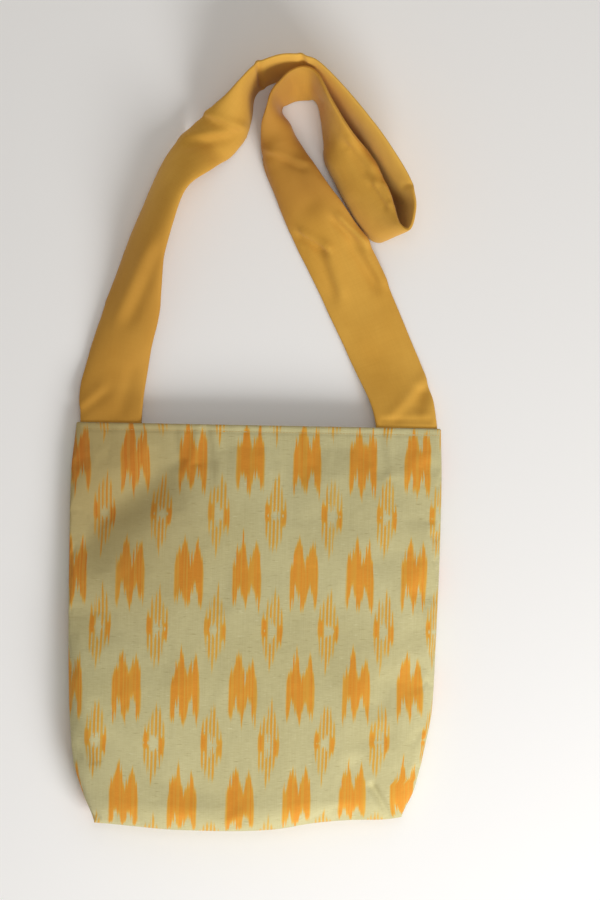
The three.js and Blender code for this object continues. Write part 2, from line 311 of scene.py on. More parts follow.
def settled(columns, rows, place, hold, spare, limit):
    """Simulates a grid of cloth with a little spare length. Each point is held by hold(across, along),
    1 where it is sewn. Gives back how far each point of the grid moved."""
    copy = sheet_of_cloth("settling_cloth", columns, rows, place)
    level = np.repeat(np.linspace(-1, 1, rows + 1), columns + 1)
    across = np.tile(np.linspace(-1, 1, columns + 1), rows + 1)
    held = copy.vertex_groups.new(name="held")
    for index, share in enumerate(hold(across, level)):
        held.add([index], share, "REPLACE")
    cloth = copy.modifiers.new("settling", "CLOTH")
    cloth.settings.vertex_group_mass = "held"
    cloth.settings.quality = SETTLE_QUALITY
    cloth.settings.mass = SETTLE_MASS
    cloth.settings.tension_stiffness = SETTLE_STRETCH
    cloth.settings.compression_stiffness = SETTLE_STRETCH
    cloth.settings.shear_stiffness = SETTLE_SHEAR
    cloth.settings.bending_stiffness = SETTLE_BEND
    cloth.settings.shrink_min = -spare
    cloth.settings.effector_weights.gravity = 0
    cloth.point_cache.frame_end = SETTLE_FRAMES
    for frame_number in range(1, SETTLE_FRAMES + 1):
        bpy.context.scene.frame_set(frame_number)
    moved = copy.evaluated_get(bpy.context.evaluated_depsgraph_get()).data
    before = np.zeros(len(across) * 3)
    after = np.zeros(len(across) * 3)
    copy.data.vertices.foreach_get("co", before)
    moved.vertices.foreach_get("co", after)
    bpy.data.objects.remove(copy)
    bpy.context.scene.frame_set(1)
    shift = (after - before).reshape(rows + 1, columns + 1, 3)
    length = np.linalg.norm(shift, axis=2, keepdims=True)
    return shift * np.minimum(1, limit / np.maximum(length, 1e-9))


def shift_at(shift, across, level):
    """Reads a settled grid between its points, across and along from -1 to 1."""
    rows, columns = shift.shape[0] - 1, shift.shape[1] - 1
    column = np.clip((across + 1) / 2, 0, 1) * columns
    row = np.clip((level + 1) / 2, 0, 1) * rows
    left = np.minimum(column.astype(int), columns - 1)
    low = np.minimum(row.astype(int), rows - 1)
    right_part = (column - left)[:, None]
    high_part = (row - low)[:, None]
    lower = shift[low, left] * (1 - right_part) + shift[low, left + 1] * right_part
    upper = shift[low + 1, left] * (1 - right_part) + shift[low + 1, left + 1] * right_part
    return lower * (1 - high_part) + upper * high_part


def along_panel(level):
    """Metres along a panel from the mouth's folded edge, from -1 at the bottom seam to 1 inside the hem."""
    return (1 - level) / 2 * (CLOTH_LENGTH + HEM_TURN) - HEM_TURN


def unsettled_front(across, level):
    """The front before it settles, with no UV map."""
    return panel_points(True, across, along_panel(level)), np.zeros((len(across), 2))


def front_hold(across, level):
    """The front is held at its sides, its bottom and down to the strap's ends, and lies loosely between."""
    along = along_panel(level)
    sewn = (np.abs(across) > SEWN_ACROSS) | (along < SEWN_DOWN) | (along > CLOTH_LENGTH - HEM_TURN)
    return np.where(sewn, 1.0, FRONT_HOLD)


front_shift = settled(FRONT_COLUMNS, FRONT_ROWS, unsettled_front, front_hold, FRONT_SPARE, FRONT_LIMIT)


def panel(name, is_front):
    """One panel of the pouch, from the turned-in end of its hem to the bottom seam."""

    def place(across, level):
        along = along_panel(level)
        points = panel_points(is_front, across if is_front else -across, along)
        if is_front:
            points += shift_at(front_shift, across, level)
        on_cloth = np.column_stack([across_cloth(points, PANEL_COLUMNS), -along])
        return points, on_cloth

    piece = sheet_of_cloth(name, PANEL_COLUMNS, PANEL_ROWS, place)
    thickness = piece.modifiers.new("cloth", "SOLIDIFY")
    thickness.thickness = PANEL_CLOTH
    thickness.offset = -1
    return piece


class Thread:
    """A value on the cloth, such as how far across it lies. Arithmetic on it adds Math nodes."""

    def __init__(self, tree, socket=None):
        self.tree = tree
        self.socket = socket

    def node(self, kind, settings=None, inputs=None, output=0):
        """Adds a node, with its settings first and then its sockets' values or links."""
        made = self.tree.nodes.new("ShaderNode" + kind)
        for name, value in (settings or {}).items():
            if name == "stops":
                stops = made.color_ramp.elements
                while len(stops) < len(value):
                    stops.new(0.5)
                for stop, (position, grey) in zip(stops, value):
                    stop.position = position
                    stop.color = (grey, grey, grey, 1)
            else:
                setattr(made, name, value)
        for name, value in (inputs or {}).items():
            if isinstance(value, Thread):
                self.tree.links.new(value.socket, made.inputs[name])
            else:
                made.inputs[name].default_value = value
        return Thread(self.tree, made.outputs[output] if made.outputs else None)

    def math(self, operation, *values):
        return self.node("Math", {"operation": operation}, dict(enumerate(values)))

    def __add__(self, other):
        return self.math("ADD", self, other)

    __radd__ = __add__

    def __sub__(self, other):
        return self.math("SUBTRACT", self, other)

    def __rsub__(self, other):
        return self.math("SUBTRACT", other, self)

    def __mul__(self, other):
        return self.math("MULTIPLY", self, other)

    __rmul__ = __mul__

    def __truediv__(self, other):
        return self.math("DIVIDE", self, other)

    def __abs__(self):
        return self.math("ABSOLUTE", self)

    def floor(self):
        return self.math("FLOOR", self)

    def cosine(self):
        return self.math("COSINE", self)

    def step(self, low, high):
        """0 below low, 1 above high, smooth between."""
        settings = {"interpolation_type": "SMOOTHSTEP"}
        return self.node("MapRange", settings, {"Value": self, "From Min": low, "From Max": high})

    def larger(self, other):
        return self.math("MAXIMUM", self, other)

    def chart(self, rows, column, reach):
        """A column of a table of heights, read at this place from 0 to 1."""
        stops = [(row["at"], 0.5 + row[column] / (2 * reach)) for row in rows]
        return (self.node("ValToRGB", {"stops": stops}, {"Fac": self}) - 0.5) * (2 * reach)

    def tint(self, low, high):
        """From one colour where this is 0 to another where it is 1. Either may be a socket."""
        return self.node("Mix", {"data_type": "RGBA"}, {"Factor": self, 6: low, 7: high}, output=2)

    def at(self, x, y, z=0):
        return self.node("CombineXYZ", None, {"X": x, "Y": y, "Z": z})


def srgb(red, green, blue):
    """A colour as it is seen on a screen, 0 to 255, in the renderer's linear values."""
    linear = [((part / 255 + 0.055) / 1.055) ** 2.4 for part in (red, green, blue)]
    return (*linear, 1)


# The ikat motifs are dyed into bundles of warp threads before weaving. Each bundle ends in a spike, and the
# threads slip, so the edges feather. The peaked motif is charted by the ends of its bundles, at shares of
# its width from its left side
PEAK_WIDTH = 0.0264
PEAK_BUNDLES = 11
PEAK_FIRST = 0.05
PEAK_EDGE = 0.56
PEAK_EDGE_FADE = 0.12
PEAK_CHART = [
    dict(at=0.01, top=0.013, bottom=-0.030),
    dict(at=0.08, top=0.016, bottom=-0.032),
    dict(at=0.14, top=0.020, bottom=-0.027),
    dict(at=0.18, top=0.022, bottom=-0.018),
    dict(at=0.25, top=0.027, bottom=-0.015),
    dict(at=0.34, top=0.036, bottom=-0.023),
    dict(at=0.42, top=0.028, bottom=-0.029),
    dict(at=0.48, top=0.019, bottom=-0.036),
    dict(at=0.54, top=0.012, bottom=-0.029),
    dict(at=0.61, top=0.015, bottom=-0.021),
    dict(at=0.68, top=0.021, bottom=-0.014),
    dict(at=0.75, top=0.025, bottom=-0.016),
    dict(at=0.81, top=0.031, bottom=-0.023),
    dict(at=0.88, top=0.023, bottom=-0.029),
    dict(at=0.95, top=0.014, bottom=-0.033),
    dict(at=1.00, top=0.006, bottom=-0.029),
]

# The open diamond is six strands with a paler hollow at its middle and a solid patch at either side. Places
# across it are shares of its width from its middle
DIAMOND_WIDTH = 0.0202
DIAMOND_STRANDS = 5.8
DIAMOND_FIRST = 0.08
DIAMOND_PATCH = 0.0070
DIAMOND_PATCH_LEAN = 0.007
DIAMOND_PATCH_FROM = 0.22
DIAMOND_PATCH_BY = 0.33
DIAMOND_PATCH_FADE = 0.004
DIAMOND_PATCH_FILL = 1.5
DIAMOND_EDGE = 0.55
DIAMOND_EDGE_FADE = 0.10
STRAND_FROM = -0.95
STRAND_BY = 0.20
STRAND_DYE = 0.68
HOLLOW_FADE = 0.002
HOLLOW_SPIKE_SHARE = 0.3
HOLLOW_REACH = 0.22
HOLLOW_REACH_FADE = 0.14
HOLLOW_HEIGHT = 0.0065
DIAMOND_CHART = [
    dict(at=0.00, top=0.014, bottom=-0.014, hollow=-0.006),
    dict(at=0.08, top=0.019, bottom=-0.019, hollow=-0.006),
    dict(at=0.25, top=0.025, bottom=-0.028, hollow=-0.004),
    dict(at=0.40, top=0.031, bottom=-0.039, hollow=0.006),
    dict(at=0.50, top=0.033, bottom=-0.032, hollow=0.007),
    dict(at=0.60, top=0.039, bottom=-0.028, hollow=0.005),
    dict(at=0.77, top=0.028, bottom=-0.021, hollow=-0.004),
    dict(at=0.94, top=0.017, bottom=-0.014, hollow=-0.006),
    dict(at=1.00, top=0.012, bottom=-0.010, hollow=-0.006),
]

# The motifs repeat on a lattice over the cloth, and the diamonds lie between the peaks
CHART_REACH = 0.040
LATTICE_ACROSS = 0.0535
LATTICE_CROWD = 0.157
LATTICE_DOWN = 0.1065
PEAK_PLACE = (-0.0062, -0.0315)
DIAMOND_PLACE = (-0.0342, -0.0845)
LATTICE_LEAN = 0.013
WARP_THREAD = 0.0014
WARP_SLIP = 0.0058
FEATHER = 0.0062
SPIKE = 0.0045
WEAKEST_DYE = 0.62
DYE_SPREAD = 0.42


def motif(u, v, place, width):
    """Where a point lies in its nearest motif: 0 to 1 across it, metres above its middle, and its row."""
    straight = u - v * LATTICE_LEAN - place[0]
    leaned = straight + straight * straight * LATTICE_CROWD
    column = (leaned / LATTICE_ACROSS + 0.5).floor()
    raised = v - place[1]
    row = (raised / LATTICE_DOWN + 0.5).floor()
    return (leaned - column * LATTICE_ACROSS) / width + 0.5, raised - row * LATTICE_DOWN, row


def warp_slips(u, row):
    """How far each warp thread has slipped in a row of motifs, at its upper and lower end, and how
    strongly it is dyed."""
    thread = (u / WARP_THREAD).floor()
    place = thread.at(thread, row)
    random = thread.node("TexWhiteNoise", {"noise_dimensions": "2D"}, {"Vector": place}, output=1)
    upper, lower, strength = (
        random.node("SeparateColor", None, {"Color": random}, output=part) for part in range(3)
    )
    upper_slip = (upper - 0.5) * (2 * WARP_SLIP)
    lower_slip = (lower - 0.5) * (2 * WARP_SLIP)
    return upper_slip, lower_slip, strength * DYE_SPREAD + WEAKEST_DYE


def spike(across, bundles, first):
    """How far the dye falls short of a bundle's tip, growing from its middle thread to its border."""
    bundle = (across - first) * bundles
    return abs(bundle - (bundle + 0.5).floor()) * (2 * SPIKE)


def between(height, top, bottom):
    """1 from the lower to the upper end of a dyed thread, fading over its feathered ends."""
    return (top - height).step(-FEATHER, FEATHER) * (height - bottom).step(-FEATHER, FEATHER)


def peaks(u, v):
    """How far each point is dyed by the peaked motifs."""
    across, height, row = motif(u, v, PEAK_PLACE, PEAK_WIDTH)
    upper_slip, lower_slip, strength = warp_slips(u, row)
    short = spike(across, PEAK_BUNDLES, PEAK_FIRST)
    top = across.chart(PEAK_CHART, "top", CHART_REACH) - short + upper_slip
    bottom = across.chart(PEAK_CHART, "bottom", CHART_REACH) + short + lower_slip
    inside = (PEAK_EDGE - abs(across - 0.5)).step(0, PEAK_EDGE_FADE)
    return between(height, top, bottom) * inside * strength


def diamonds(u, v):
    """How far each point is dyed by the open diamonds, and where their undyed middles lie."""
    across, height, row = motif(u, v, DIAMOND_PLACE, DIAMOND_WIDTH)
    upper_slip, lower_slip, strength = warp_slips(u, row)
    short = spike(across, DIAMOND_STRANDS, DIAMOND_FIRST)
    top = across.chart(DIAMOND_CHART, "top", CHART_REACH) - short + upper_slip
    bottom = across.chart(DIAMOND_CHART, "bottom", CHART_REACH) + short + lower_slip
    hollow = across.chart(DIAMOND_CHART, "hollow", CHART_REACH) + short * HOLLOW_SPIKE_SHARE
    outside_hollow = (abs(height) - hollow + upper_slip).step(-HOLLOW_FADE, HOLLOW_FADE)
    strand = ((across - DIAMOND_FIRST) * (2 * math.pi * DIAMOND_STRANDS)).cosine()
    from_middle = abs(across - 0.5)
    from_side = from_middle.step(DIAMOND_PATCH_FROM, DIAMOND_PATCH_BY)
    patch_middle = (0.5 - across) * DIAMOND_PATCH_LEAN
    within_patch = DIAMOND_PATCH - abs(height - patch_middle)
    patch = from_side * within_patch.step(-DIAMOND_PATCH_FADE, DIAMOND_PATCH_FADE)
    dyed = (strand + patch * DIAMOND_PATCH_FILL).step(STRAND_FROM, STRAND_BY)
    dyed = dyed * (STRAND_DYE + patch * (1 - STRAND_DYE))
    inside = (DIAMOND_EDGE - from_middle).step(0, DIAMOND_EDGE_FADE)
    undyed = (HOLLOW_REACH - from_middle).step(0, HOLLOW_REACH_FADE)
    undyed = undyed * (HOLLOW_HEIGHT - abs(height)).step(-HOLLOW_FADE, HOLLOW_FADE)
    return between(height, top, bottom) * outside_hollow * dyed * inside * strength, undyed


# Colours of the front and back cloth, the shares in which they mix, and the pitch of its threads. Painted
# shade makes the cloth darker and browner towards the upper left corner
GROUND_SHADE = srgb(186, 177, 128)
GROUND_LIGHT = srgb(206, 199, 152)
DARK_FLECK = srgb(140, 124, 70)
PALE_FLECK = srgb(226, 222, 180)
# Painted shade colours for the upper left corner: of the ground, of the honey edges and of the orange dye
PAINTED_SHADE = srgb(170, 146, 90)
HONEY = srgb(214, 170, 66)
HONEY_PAINTED_SHADE = srgb(176, 130, 60)
ORANGE_SHADE = srgb(212, 136, 40)
ORANGE_LIGHT = srgb(228, 154, 52)
ORANGE_PAINTED_SHADE = srgb(176, 100, 30)
SLUB_SHARE = 0.35
WARP_SHARE = 0.25
PATCH_SHARE = 0.40
DARK_FLECK_SHARE = 0.50
PALE_FLECK_SHARE = 0.55
PAINTED_SHADE_ACROSS = (-0.02, 0.17)
PAINTED_SHADE_UP = (-0.25, -0.05)
PAINTED_SHADE_SHARE = 0.75
HONEY_PAINTED_SHADE_SHARE = 0.60
UNDYED_SHARE = 0.14
HONEY_DYE = (0.02, 0.60)
ORANGE_DYE = (0.32, 0.98)
THREAD_PITCH = 0.00062
THREAD_HEIGHT = 0.0005


def mottle(u, v, across, along, layer, detail=2.0):
    """Random tone of about 0.5, with so many waves to a metre across the cloth and along it."""
    place = u.at(u * across, v * along, layer)
    return u.node("TexNoise", None, {"Vector": place, "Scale": 1.0, "Detail": detail})


def weave(u, v, pitch):
    """Height of a plain weave, from -1 to 1."""
    return (v * (2 * math.pi / pitch)).cosine() * (u * (2 * math.pi / pitch)).cosine()


def ikat_cotton():
    """Unbleached slub cotton with the dyed motifs, and the weave and slubs raised on its surface."""
    material = bpy.data.materials.new("ikat_cotton")
    material.use_nodes = True
    tree = material.node_tree
    tree.nodes.clear()
    cloth = Thread(tree)
    place = cloth.node("UVMap", {"uv_map": "cloth"})
    u = place.node("SeparateXYZ", None, {"Vector": place}, output=0)
    v = place.node("SeparateXYZ", None, {"Vector": place}, output=1)

    slub = mottle(u, v, across=140, along=1300, layer=0)
    dark_fleck = mottle(u, v, across=95, along=950, layer=7)
    pale_fleck = mottle(u, v, across=120, along=950, layer=19)
    warp_tone = mottle(u, v, across=1300, along=30, layer=3)
    patchy = mottle(u, v, across=11, along=11, layer=5)

    tone = slub.step(0.30, 0.70) * SLUB_SHARE + warp_tone.step(0.25, 0.75) * WARP_SHARE
    tone = tone + patchy.step(0.3, 0.7) * PATCH_SHARE
    plain = tone.tint(GROUND_SHADE, GROUND_LIGHT)
    flecked = (dark_fleck.step(0.62, 0.76) * DARK_FLECK_SHARE).tint(plain, DARK_FLECK)
    fresh = (pale_fleck.step(0.64, 0.78) * PALE_FLECK_SHARE).tint(flecked, PALE_FLECK)
    # Painted shade: the ground, the honey edges and the orange dye turn darker and browner towards the upper
    # left corner
    painted_shade = (u * -1).step(*PAINTED_SHADE_ACROSS) * v.step(*PAINTED_SHADE_UP)
    diamond, undyed = diamonds(u, v)
    dye = peaks(u, v).larger(diamond)
    ground = (undyed * UNDYED_SHARE).tint((painted_shade * PAINTED_SHADE_SHARE).tint(fresh, PAINTED_SHADE), PALE_FLECK)
    honey = (painted_shade * HONEY_PAINTED_SHADE_SHARE).tint(HONEY, HONEY_PAINTED_SHADE)
    orange = (painted_shade * PAINTED_SHADE_SHARE).tint(tone.tint(ORANGE_SHADE, ORANGE_LIGHT), ORANGE_PAINTED_SHADE)
    soaked = dye.step(*HONEY_DYE).tint(ground, honey)
    color = dye.step(*ORANGE_DYE).tint(soaked, orange)

    raised = weave(u, v, THREAD_PITCH) * 0.30 + slub * 0.7 + dark_fleck * 0.4
    bump = cloth.node("Bump", None, {"Strength": 0.30, "Distance": THREAD_HEIGHT, "Height": raised})
    shader = cloth.node("BsdfPrincipled", None, {
        "Base Color": color,
        "Roughness": 0.80 + slub * 0.14,
        "Normal": bump,
        "Specular IOR Level": 0.25,
        "Sheen Weight": 0.12,
        "Sheen Roughness": 0.5,
    })
    shader.node("OutputMaterial", None, {"Surface": shader})
    return material


ikat = ikat_cotton()
front_panel = panel("front_cloth", is_front=True)
front_panel.data.materials.append(ikat)
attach(front_panel, "root")
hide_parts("front_panel")

# Back panel: the lower half of the pouch, of the same cloth, lying flat on the surface and curving up to
# the seams. It has the same turned hem at the mouth.
back_panel = panel("back_cloth", is_front=False)
back_panel.data.materials.append(ikat)
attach(back_panel, "root")
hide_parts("back_panel")

# Strap: a long strip of plain mustard cotton folded along its length, sewn and turned into a flat tube.
# It lies nearly flat by the pouch, stands on edge in its loops, and its ends open to line the mouth.
STRAP_CLOTH = 0.0007
STRAP_THICKNESS = 0.003
STRAP_LIFT = 0.0019
STRAP_SPREAD = 0.070
TWIST_LIFT = 0.6
STRAP_CLEARANCE = 0.0029
STRAP_WIDTH = 0.060
STRAP_AROUND = 72
STRAP_ALONG = 560
STRAP_EDGE_POWER = 8

# Sections from the left end to the right end: the middle of the strap on the surface, the direction across
# it in degrees, its width seen from above, how far its first edge stands above its second, and how far the
# cloth arches up between the edges, in millimetres from the middle of the mouth
STRAP_COLUMNS = ("x", "y", "across", "seen", "rise", "arch")
STRAP_SECTIONS = [dict(zip(STRAP_COLUMNS, row)) for row in [
    (-137.5, -20, 0, 57, 0, 0),
    (-137.7, 2, 0, 57.4, 0, 0),
    (-136.4, 34, -4, 58.6, -3, 4),
    (-127, 77, -11, 53, -14, 9),
    (-117, 114, -18, 49, -20, 10),
    (-105.8, 158, -21, 34.5, -34, 13),
    (-93.2, 197, -24, 28, -41, 11),
    (-81.5, 226, -30, 28, -40, 11),
    (-64, 248, -36, 39, -24, 14),
    (-49, 264, -39, 43, 4, 16),
    (-35, 281, -43, 39, 26, 13),
    (-25.5, 295, -46, 30, 40, 8),
    (-17, 313, -52, 18, 54, 4),
    (-4.5, 325, -82, 20, 55, 3),
    (15, 332.5, -94, 21, 55, 3),
    (33, 331.5, -112, 22, 55, 3),
    (46.5, 327, -127, 19, 55, 3),
    (72, 302.8, -141, 17, 54, 5),
    (101, 267.6, -150, 18, 54, 5),
    (124.5, 230.2, -155, 21, 53, 6),
    (131, 211, -164, 20, 55, 2),
    (130, 195, -163, 21, 55, 1),
    (124, 181, -158, 25, 53, 0),
    (114, 184.5, -153, 29, 50, 3),
    (106, 200, -154, 34, 43, 9),
    (97.2, 217.4, -154, 36.5, 38, 12),
    (88.2, 235.4, -157, 37.5, 34, 14),
    (78.2, 252.3, -161, 34.5, 32, 15),
    (70, 269, -163, 24, 46, 7),
    (62.5, 287, -162, 15, 52, 4),
    (56, 302, -152, 10, 55, 2),
    (50.5, 311, -125, 14, 54, 2),
    (43, 317, -97, 25, 51, 1),
    (35, 318, -87, 28, 50, 1),
    (26, 315.5, -82, 26, 51, 1),
    (18, 310, -72, 21, 52, 2),
    (11.5, 303, -48, 15, 53, 2),
    (8.2, 292, -14, 13, 49, 5),
    (7.8, 279.5, 6, 20, 30, 13),
    (14.8, 262, 14, 33, 2, 18),
    (25, 241, 19.5, 41, -14, 14),
    (36.5, 220, 23, 46, -20, 10.5),
    (55.5, 186, 25, 55, -13, 6),
    (76, 150, 23, 59, -6, 4),
    (96, 108, 23, 59, 0, 3),
    (115, 67, 20, 58, 0, 3),
    (131, 30, 11, 57, 0, 2),
    (137.7, 2, 0, 57.4, 0, 0),
    (137.5, -20, 0, 57, 0, 0),
]]
STRAP_END = len(STRAP_SECTIONS) - 1

# Creases in the strap: the sections they lie between, a line on the surface, their reach and depth, and
# whether they raise one side sharply
STRAP_CREASES = [
    dict(rows=(11, 15), start=(-0.007, 0.341), end=(-0.0047, 0.317), reach=0.0026, depth=0.0030, sharp=False),
    dict(rows=(13, 17), start=(0.030, 0.347), end=(0.036, 0.334), reach=0.0030, depth=0.0026, sharp=False),
    dict(rows=(17, 22), start=(0.131, 0.226), end=(0.142, 0.226), reach=0.0022, depth=0.0016, sharp=False),
    dict(rows=(39, 45), start=(0.022, 0.243), end=(0.044, 0.208), reach=0.0120, depth=0.0046, sharp=False),
    dict(rows=(38, 44), start=(0.009, 0.252), end=(0.036, 0.242), reach=0.0030, depth=0.0017, sharp=True),
    dict(rows=(40, 47), start=(0.070, 0.193), end=(0.092, 0.172), reach=0.0030, depth=0.0032, sharp=True),
    dict(rows=(40, 47), start=(0.088, 0.170), end=(0.1076, 0.138), reach=0.0042, depth=0.0029, sharp=True),
    dict(rows=(40, 46), start=(0.039, 0.179), end=(0.059, 0.167), reach=0.0028, depth=0.0031, sharp=True),
    dict(rows=(40, 46), start=(0.058, 0.164), end=(0.070, 0.129), reach=0.0050, depth=0.0024, sharp=True),
    dict(rows=(44, 49), start=(0.150, 0.034), end=(0.149, 0.020), reach=0.0065, depth=0.0034, sharp=False),
    dict(rows=(44, 49), start=(0.128, 0.012), end=(0.158, 0.048), reach=0.0046, depth=0.0010, sharp=True),
    dict(rows=(44, 49), start=(0.117, 0.007), end=(0.159, 0.008), reach=0.0024, depth=0.0012, sharp=False),
    dict(rows=(0, 4), start=(-0.164, 0.014), end=(-0.146, 0.030), reach=0.0040, depth=0.0010, sharp=True),
    dict(rows=(0, 4), start=(-0.128, 0.012), end=(-0.118, 0.050), reach=0.0060, depth=0.0012, sharp=False),
    dict(rows=(22, 27), start=(0.102, 0.226), end=(0.114, 0.209), reach=0.0026, depth=0.0020, sharp=True),
    dict(rows=(22, 27), start=(0.110, 0.224), end=(0.117, 0.214), reach=0.0022, depth=0.0017, sharp=True),
    dict(rows=(24, 28), start=(0.080, 0.262), end=(0.096, 0.242), reach=0.0036, depth=0.0020, sharp=True),
    dict(rows=(3, 7), start=(-0.124, 0.104), end=(-0.100, 0.158), reach=0.0060, depth=0.0020, sharp=True),
    dict(rows=(7, 11), start=(-0.068, 0.262), end=(-0.034, 0.270), reach=0.0044, depth=0.0024, sharp=True),
    dict(rows=(8, 12), start=(-0.052, 0.285), end=(-0.028, 0.276), reach=0.0036, depth=0.0020, sharp=True),
    dict(rows=(31, 37), start=(0.024, 0.322), end=(0.032, 0.310), reach=0.0050, depth=0.0012, sharp=False),
]
STRAP_SLACK = 0.0007
STRAP_SLACK_WAVE = 0.030
STRAP_RUMPLE = 0.00022
STRAP_RUMPLE_WAVE = 0.012
STRAP_CREASED_FROM = 0.001
STRAP_CREASED_BY = 0.006
STRAP_MEASURES = 2000
NORMAL_STEP = 0.02
NORMAL_WITHIN = 0.92


def strap_middle(across, place):
    """Middle surface of the strap: a half-ellipse arch from edge to edge of each section."""
    place = np.clip(place, 0, STRAP_END)
    turn = np.radians(through(STRAP_SECTIONS, "across", place))
    seen = through(STRAP_SECTIONS, "seen", place) / 1000
    rise = through(STRAP_SECTIONS, "rise", place) / 1000
    arch = np.maximum(through(STRAP_SECTIONS, "arch", place), 0) / 1000
    x = through(STRAP_SECTIONS, "x", place) / 1000
    y = through(STRAP_SECTIONS, "y", place) / 1000
    span = np.hypot(seen, rise)
    over = np.sin(across * math.pi / 2) / 2
    up = arch * np.cos(across * math.pi / 2) / span
    level = seen * over + rise * up
    z = STRAP_LIFT + np.hypot(rise, TWIST_LIFT * arch) / 2 - rise * over + seen * up
    return np.column_stack([x + np.cos(turn) * level, y + np.sin(turn) * level, z])


def strap_normal(across, place):
    """The way the strap's cloth faces, taken a little inside its edges."""
    inside = np.clip(across, -NORMAL_WITHIN, NORMAL_WITHIN)
    along = strap_middle(inside, place + NORMAL_STEP) - strap_middle(inside, place - NORMAL_STEP)
    over = strap_middle(inside + NORMAL_STEP, place) - strap_middle(inside - NORMAL_STEP, place)
    normal = np.cross(over, along)
    return normal / np.linalg.norm(normal, axis=1, keepdims=True)


def mouth_layer(x, y, is_upper):
    """Height of the strap's upper or lower layer where its end lines the mouth."""
    down = np.maximum(-y, 0)
    half_width = np.where(x < 0, pouch_at(down, "left"), pouch_at(down, "right")) - STRAP_CLEARANCE
    share = np.clip(np.abs(x) / half_width, 0, 1)
    back = pouch_at(down, "back")
    upper = back + (pouch_at(down, "front") - STRAP_CLEARANCE) * front_crown(share)
    lower = back - (back - STRAP_CLEARANCE) * back_depth(share, half_width)
    return np.where(is_upper, upper, lower)


def strap_place(around, level):
    """A point of the strap's outer face: round the tube from its first edge, and along its length."""
    place = (level + 1) / 2 * STRAP_END
    face = np.where(around < 0, 1.0, -1.0)
    across = np.where(around < 0, 1 + 2 * around, 1 - 2 * around)
    swell = STRAP_THICKNESS / 2 * np.sqrt(1 - np.abs(across) ** STRAP_EDGE_POWER)
    middle = strap_middle(across, place)
    normal = strap_normal(across, place)
    points = middle + normal * (face * swell)[:, None]
    open_share = 1 - ease(middle[:, 1], 0, STRAP_SPREAD)
    dent = -STRAP_SLACK * ripple(middle, STRAP_SLACK_WAVE, seed=41)
    dent -= STRAP_RUMPLE * ripple(middle, STRAP_RUMPLE_WAVE, seed=57)
    for crease in STRAP_CREASES:
        within = (place > crease["rows"][0]) & (place < crease["rows"][1])
        press = crease_depth if crease["sharp"] else fold_depth
        dent += within * press([crease], middle[:, 0], middle[:, 1])
    dent *= ease(middle[:, 1], STRAP_CREASED_FROM, STRAP_CREASED_BY)
    facing = np.where(normal[:, 2] < 0, -1, 1)
    points -= normal * (facing * dent)[:, None]
    layer = mouth_layer(middle[:, 0], middle[:, 1], normal[:, 2] * face > 0)
    rounding = np.sqrt(1 - np.abs(across) ** STRAP_EDGE_POWER)
    edge = mouth_layer(middle[:, 0], middle[:, 1], True) + mouth_layer(middle[:, 0], middle[:, 1], False)
    layer = edge / 2 + (layer - edge / 2) * rounding
    layer -= dent
    points[:, 2] += (layer - points[:, 2]) * open_share
    measured = np.linspace(0, STRAP_END, STRAP_MEASURES)
    walked = np.linalg.norm(np.diff(strap_middle(np.zeros(STRAP_MEASURES), measured), axis=0), axis=1)
    length = np.interp(place, measured, np.concatenate([[0], np.cumsum(walked)]))
    on_cloth = np.column_stack([around * STRAP_WIDTH, length])
    return points + np.array([MOUTH_X, MOUTH_Y, 0]), on_cloth


# Colours of the strap: its own colour, a painted shade that is darker and browner on the lower part of the
# left strand and the upper part of the right strand, and a painted light that is paler along the top of its
# loop. Places are metres along it from its left end
STRAP_SHADE = srgb(206, 152, 54)
STRAP_LIGHT = srgb(222, 170, 70)
# Painted shade colour for the lower left strand and the upper right strand
STRAP_PAINTED_SHADE = srgb(178, 122, 44)
# Painted light colour for the top of the loop, whose walls lie in shade
STRAP_PAINTED_LIGHT = srgb(246, 192, 84)
LEFT_PAINTED_SHADE_UP_TO = (0.27, 0.17)
LEFT_PAINTED_SHADE_SHARE = 0.45
RIGHT_PAINTED_SHADE_AT = 0.865
RIGHT_PAINTED_SHADE_REACH = 0.10
RIGHT_PAINTED_SHADE_SHARE = 0.70
PAINTED_LIGHT_AT = 0.49
PAINTED_LIGHT_REACH = 0.12
PAINTED_LIGHT_SHARE = 0.60
PAINTED_BLEND = 0.06
STRAP_THREAD_PITCH = 0.0007


